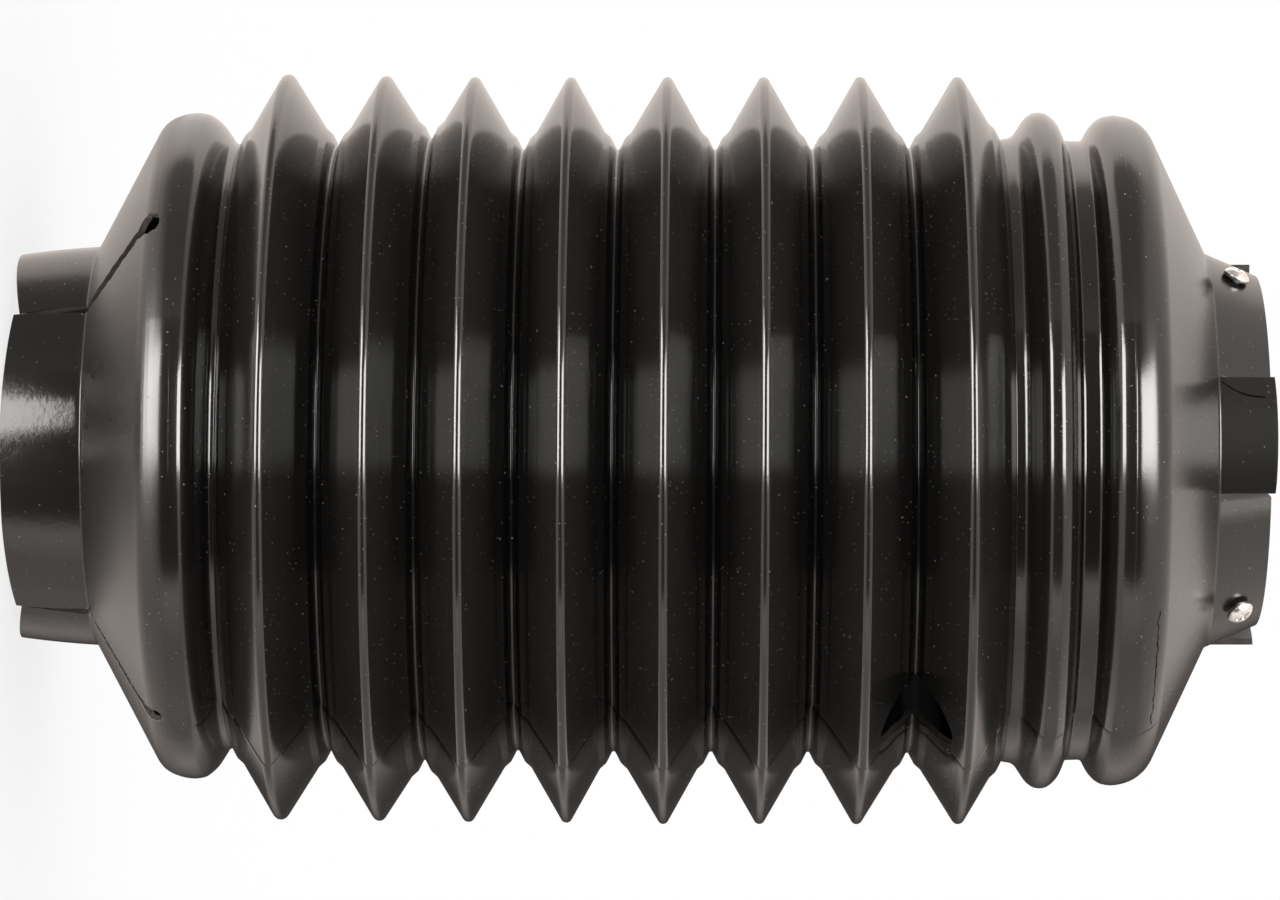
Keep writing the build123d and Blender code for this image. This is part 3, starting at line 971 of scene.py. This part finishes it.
# %% [markdown]
# ## One screw
# Each bent tab carries a self-tapping screw with a pan head. A head was cold-formed and its cross
# recess struck in one blow, so the recess has soft edges and tapers to its floor. A Boolean cross
# in a bevelled cylinder would be crisper than that. Here the screw is one round sheet of points:
# rings run from the axis out over the crown, down the edge, along the underside and down the
# threaded shank to the tip. The recess is pressed into the rings that lie inside it, and the
# thread is a wave in radius that climbs one pitch with each turn.

# %% Crown and recess, in millimetres
HEAD_RADIUS, HEAD_HEIGHT, HEAD_EDGE = 4.5, 3.0, 1.1
CROWN_POWER = 3.9  # how square the pan's side is
ARM_LENGTH, ARM_HALF, RECESS_DEPTH, RECESS_SOFT = 2.35, 0.52, 1.7, 0.22


def crown(radius):
    """Height of the head's top at a distance from its axis."""
    return HEAD_EDGE + (HEAD_HEIGHT - HEAD_EDGE) * (1 - (radius / HEAD_RADIUS) ** CROWN_POWER)


def recess(x, y, radius):
    """How deep the cross is pressed in at a point of the crown."""
    one_arm = min(ARM_HALF - abs(x), ARM_LENGTH - abs(y))
    other_arm = min(ARM_HALF - abs(y), ARM_LENGTH - abs(x))
    share = min(max(max(one_arm, other_arm) / RECESS_SOFT + 0.5, 0.0), 1.0)
    taper = 1 - 0.6 * min(radius / ARM_LENGTH, 1.0)
    return RECESS_DEPTH * share * share * (3 - 2 * share) * taper


print("crown", HEAD_HEIGHT, "mm high, recess", RECESS_DEPTH, "mm deep")

# %% [markdown]
# The rings are close where the recess needs them and where the shank carries its thread, and wide
# apart on the plain edge. The thread fades out towards the tip, where the shank narrows.

# %% Rings of one screw
SHANK_RADIUS, SHANK_LENGTH, TIP_LENGTH, PITCH = 1.95, 13.0, 3.5, 1.4
THREAD_DEPTH, THREAD_SHARP, RING_STEP = 0.38, 2.2, 0.2
AROUND = 84
CROWN_RADII = list(np.linspace(0.1, 2.7, 23)) + [3.1, 3.5, 3.85, 4.1, 4.3, 4.42, 4.49]
EDGE_RINGS = ((4.5, 0.95), (4.5, 0.18), (4.45, 0.06), (4.32, 0.0), (2.4, 0.0), (2.02, -0.1))


def screw_rings():
    """Rings of points from the middle of the crown to the tip, as (x, y, z) lists."""
    rings = []
    around = np.linspace(0, 2 * pi, AROUND, endpoint=False)
    for radius in CROWN_RADII:
        flat = [(radius * cos(angle), radius * sin(angle)) for angle in around]
        rings.append([(x, y, crown(radius) - recess(x, y, radius)) for x, y in flat])
    for radius, z in EDGE_RINGS:
        rings.append([(radius * cos(angle), radius * sin(angle), z) for angle in around])
    for z in np.arange(-0.4, -SHANK_LENGTH + 0.05, -RING_STEP):
        thin = min(1.0, (SHANK_LENGTH + z) / TIP_LENGTH)
        made = []
        for angle in around:
            wave = abs(((z / PITCH - angle / (2 * pi)) % 1.0) * 2 - 1)
            groove = THREAD_DEPTH * (1 - max(0.0, 1 - wave * THREAD_SHARP))
            radius = (SHANK_RADIUS - groove) * thin ** 0.8
            made.append((radius * cos(angle), radius * sin(angle), z))
        rings.append(made)
    return np.array(rings)


one_screw = screw_rings()
print(one_screw.shape[0], "rings of", AROUND, "points")

# %% [markdown]
# ## Seating the screws
# The screws were driven by hand, so no two sit alike: each has its own turn, its own lean and its
# own gap under the head. Three linked copies with their own rotations would do, but all three are
# one CAD node, so they are placed point by point and joined into one object.

# %% Place one screw
SEATS = [  # turn of the tab, spin of the cross, lean of the screw, gap under the head
    (55.5, 24.0, (1.5, -2.0), 1.3), (175.5, 61.0, (-2.0, 1.5), 1.1), (-64.5, 8.0, (0.0, -9.0), 0.55),
]
SEAT_REACH = 9.4  # from the collar's corner to the screw, along the tab


def tipped(points, across, angle):
    """Points tipped by an angle in degrees: one flat axis, x or y, turns towards z."""
    c, s = cos(radians(angle)), sin(radians(angle))
    moved = points.copy()
    moved[..., across] = points[..., across] * c + points[..., 2] * s
    moved[..., 2] = points[..., 2] * c - points[..., across] * s
    return moved


def seated(turn, spin, lean, gap):
    """World points, in metres, of the screw in the tab at this turn."""
    c, s = cos(radians(spin)), sin(radians(spin))
    local = one_screw @ np.array([[c, s, 0], [-s, c, 0], [0, 0, 1]]) + np.array([0, 0, gap])
    local = tipped(tipped(local, 1, lean[0]), 0, lean[1])
    side, up_tab, off_tab = local[..., 0], local[..., 1], local[..., 2]
    out = TAB_RADIUS - SEAT_REACH * sin(LEAN) + off_tab * cos(LEAN) - up_tab * sin(LEAN)
    height = TAB_CORNER + SEAT_REACH * cos(LEAN) + off_tab * sin(LEAN) + up_tab * cos(LEAN)
    c, s = cos(radians(turn)), sin(radians(turn))
    x, y = side * c + out * s, side * s - out * c
    height = height - np.interp(height, *zip(*TILT)) * s
    return np.stack([x + np.interp(height, *zip(*SAG)), y, height], axis=-1) * MM


print(len(SEATS), "seats at", [turn for turn, *_ in SEATS], "degrees")

# %% [markdown]
# Each screw's rings are joined by four-sided faces, and one many-sided face closes the middle of
# the recess and another the tip.

# %% Build the screws
points, faces = [], []
for seat in SEATS:
    first = len(points)
    points += [tuple(p) for p in seated(*seat).reshape(-1, 3)]
    last_ring = len(one_screw) - 1
    for r in range(last_ring):
        for k in range(AROUND):
            n = (k + 1) % AROUND
            faces.append((first + r * AROUND + k, first + (r + 1) * AROUND + k,
                          first + (r + 1) * AROUND + n, first + r * AROUND + n))
    faces.append(tuple(first + k for k in range(AROUND)))
    faces.append(tuple(first + last_ring * AROUND + k for k in reversed(range(AROUND))))
screw_mesh = bpy.data.meshes.new("screws_with_thread")
screw_mesh.from_pydata(points, [], faces)
screw_mesh.polygons.foreach_set("use_smooth", [True] * len(faces))
screw_mesh.update()
screw_mesh.materials.append(steel)
screws = bpy.data.objects.new("screws_with_thread", screw_mesh)
bpy.context.scene.collection.objects.link(screws)
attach(screws, "root")
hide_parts("collar_screws")
print("screws:", len(points), "points,", sum(len(face) - 2 for face in faces), "triangles")

# %% [markdown]
# ## The camera
# The boot stands upright in this scene but is shown lying down. The boot could be laid over, but
# then it would leave its CAD model, so the camera is turned a quarter on its side instead: its
# right is the boot's up. It is about 1.8 m away, level with a point a little above the middle, and
# a small shift keeps that eye point while the frame takes in the whole boot.

# %% Set the camera
DISTANCE, EYE_HEIGHT, EYE_SIDE = 1.835, 0.2281, -0.0002
camera = bpy.data.objects.new("camera", bpy.data.cameras.new("camera"))
bpy.context.scene.collection.objects.link(camera)
camera.data.lens = 153.6
camera.data.shift_x = -0.0492
camera.location = (EYE_SIDE, -DISTANCE, EYE_HEIGHT)
camera.rotation_euler = (pi / 2, -pi / 2, 0)
bpy.context.scene.camera = camera
bpy.context.view_layer.update()
for name, axis in (("right", 0), ("up", 1)):
    print("camera", name, "is", [round(v, 2) for v in camera.matrix_world.to_3x3().col[axis]])

# %% [markdown]
# ## The studio
# Black gloss is lit by what it mirrors. Area lamps and white boards could stand in the scene, but
# they would also light the floor, and each would have to be moved to suit one streak. So the
# studio is painted on the world, by direction: a soft box towards each end of the boot, a dark
# room in front, a white table on one side of the boot and a white sweep behind. First come two
# helpers: brightness along an angle, and a window that is open between two angles.

# %% Helpers to paint by direction
world = bpy.data.worlds.new("studio")
bpy.context.scene.world = world
world.use_nodes = True
tree = world.node_tree
tree.nodes.clear()


def ramp(value, stops):
    """Brightness along straight runs through (position from -180 to 180 degrees, strength)."""
    strongest = max(strength for _, strength in stops)
    made = add("ValToRGB")
    band = made.color_ramp
    band.interpolation = "LINEAR"
    while len(band.elements) < len(stops):
        band.elements.new(0.5)
    for element, (position, strength) in zip(band.elements, stops):
        element.position = (position + 180) / 360
        element.color = (strength / strongest,) * 3 + (1,)
    feed(maths("MULTIPLY_ADD", value, 1 / 360, 0.5), made.inputs[0])
    return maths("MULTIPLY", made.outputs["Color"], strongest)


def window(value, centre, half, soft):
    """1 within half of centre, falling to 0 over soft."""
    off = maths("ABSOLUTE", maths("SUBTRACT", value, centre))
    return between(off, half + soft / 2, half - soft / 2, smooth=True)


print("the world starts with", len(tree.nodes), "nodes")

# %% [markdown]
# The camera looks along +Y with the boot's up at its right. Three angles say where a mirrored ray
# goes: its roll round the boot's axis, its swing along the boot, and its rise above the level. The
# roll alone paints the room round the folds; the two walls beside it are what the cones mirror.

# %% Paint the room
direction = add("SeparateXYZ", Vector=add("TexCoord").outputs["Generated"]).outputs
down, along = direction["X"], direction["Z"]
front = maths("MULTIPLY", direction["Y"], -1.0)
roll = maths("DEGREES", maths("ARCTAN2", down, front))
swing = maths("DEGREES", maths("ARCTAN2", along, front))
rise = maths("DEGREES", maths("ARCSINE", down))
room = ramp(roll, [
    (-180, 0.9), (-150, 1.4), (-126, 2.2), (-119, 1.8), (-114, 0.65), (-88, 0.55), (-60, 0.6),
    (-48, 0.8), (-40, 0.35), (0, 0.25), (12, 0.12), (44, 0.12), (50, 2.0), (60, 1.7), (72, 1.15),
    (95, 1.1), (106, 1.0), (116, 0.65), (130, 0.8), (140, 0.8), (150, 0.4), (158, 0.2),
    (165, 0.08), (180, 0.06),
])
past_leaf = ramp(rise, [
    (-30, 1.9), (-13, 1.7), (-11, 0.85), (-9, 0.62), (4, 0.6), (7, 1.35), (40, 1.35),
])
PAST_TABS = 1.4
leafward = maths("LESS_THAN", along, 0.0)
tabward = maths("SUBTRACT", 1.0, leafward)
walls = maths("ADD", maths("MULTIPLY", leafward, past_leaf), maths("MULTIPLY", tabward, PAST_TABS))
beside = between(maths("ABSOLUTE", along), 0.32, 0.62, smooth=True)
ahead = maths("SUBTRACT", 1.0, beside)
room = maths("ADD", maths("MULTIPLY", room, ahead), maths("MULTIPLY", walls, beside))
print("the room takes", len(tree.nodes), "nodes")

# %% [markdown]
# The lamps are two bright windows in the room. In a real studio each would be a square soft box
# beside the camera. A lamp with a blurred edge would be gentler, but the streaks that a soft box
# leaves on polished rubber end sharply, so the edges fade over two or three degrees only.

# %% Hang the lamps
LAMP_STRENGTH = 20.0
lamp_left = maths("MULTIPLY", window(swing, -44.0, 17.0, 3.0), window(rise, -14.0, 19.0, 2.5))
lamp_right = maths("MULTIPLY", window(swing, 39.0, 18.0, 3.0), window(rise, -8.5, 15.5, 2.5))
lamps = maths("MULTIPLY", maths("ADD", lamp_left, lamp_right), LAMP_STRENGTH)
print("two lamps of strength", LAMP_STRENGTH)

# %% [markdown]
# Only mirrored rays see that painted room. Rays from the camera see plain white, and matt surfaces
# get a nearly even white light of strength one, a little weaker from below, so every colour
# renders as it is written.

# %% Choose what each ray sees
ROOM_TINT, LAMP_TINT, PLAIN_TINT = (1.0, 0.90, 0.84), (1.0, 0.985, 0.96), (1.0, 1.0, 1.0)
BELOW_LOSS = -0.3


def tinted(value, colour):
    """A colour as strong as a value."""
    return add("VectorMath", operation="SCALE", Vector=colour, Scale=value).outputs["Vector"]


def vector_sum(first, second):
    """Two colours of light added up."""
    made = add("VectorMath", operation="ADD")
    feed(first, made.inputs[0])
    feed(second, made.inputs[1])
    return made.outputs["Vector"]


rays = add("LightPath").outputs
glossy, camera_sees = rays["Is Glossy Ray"], rays["Is Camera Ray"]
sky = maths("MULTIPLY_ADD", down, BELOW_LOSS, 1.0)
plain = maths("MAXIMUM", camera_sees, maths("MULTIPLY", maths("SUBTRACT", 1.0, camera_sees), sky))
mirrored = vector_sum(
    tinted(maths("MULTIPLY", room, glossy), ROOM_TINT), tinted(maths("MULTIPLY", lamps, glossy), LAMP_TINT)
)
unmirrored = tinted(maths("MULTIPLY", plain, maths("SUBTRACT", 1.0, glossy)), PLAIN_TINT)
background = add("Background", Color=vector_sum(mirrored, unmirrored), Strength=1.0)
feed(background.outputs[0], add("OutputWorld").inputs["Surface"])
print("the world has", len(tree.nodes), "nodes")

# %% [markdown]
# ## The floor
# The boot stands on its leaf collar on a plain pale floor. A plain white plane would turn grey
# round the boot, so for the camera the floor glows by itself for the most part and is lit for the
# rest, which leaves a soft shadow. The soft box towards the leaf end lies below the floor, so
# mirrored rays pass through it.

# %% Lay the floor
FLOOR_REACH, CAMERA_GLOW = 30.0, 0.80
WHITE = (1, 1, 1, 1)
floor_corners = [(x * FLOOR_REACH, y * FLOOR_REACH, 0) for x, y in ((-1, -1), (1, -1), (1, 1), (-1, 1))]
floor_mesh = bpy.data.meshes.new("floor")
floor_mesh.from_pydata(floor_corners, [], [(0, 1, 2, 3)])
floor = bpy.data.objects.new("floor", floor_mesh)
bpy.context.scene.collection.objects.link(floor)
paper = bpy.data.materials.new("white_floor")
paper.use_nodes = True
tree = paper.node_tree
tree.nodes.clear()
rays = add("LightPath").outputs
pale = add("MixShader")
feed(maths("MULTIPLY", rays["Is Camera Ray"], CAMERA_GLOW), pale.inputs["Fac"])
feed(add("BsdfDiffuse", Color=WHITE).outputs[0], pale.inputs[1])
feed(add("Emission", Color=WHITE).outputs[0], pale.inputs[2])
seen = add("MixShader")
feed(maths("MAXIMUM", rays["Is Glossy Ray"], rays["Is Transmission Ray"]), seen.inputs["Fac"])
feed(pale.outputs[0], seen.inputs[1])
feed(add("BsdfTransparent").outputs[0], seen.inputs[2])
feed(seen.outputs[0], add("OutputMaterial").inputs["Surface"])
floor_mesh.materials.append(paper)
print("the floor reaches", FLOOR_REACH, "m each way")

# %% [markdown]
# ## The colour view
# A film-like view would give a softer picture, but the Standard view keeps colours as they are
# written.

# %% Finish
bpy.context.scene.view_settings.view_transform = "Standard"
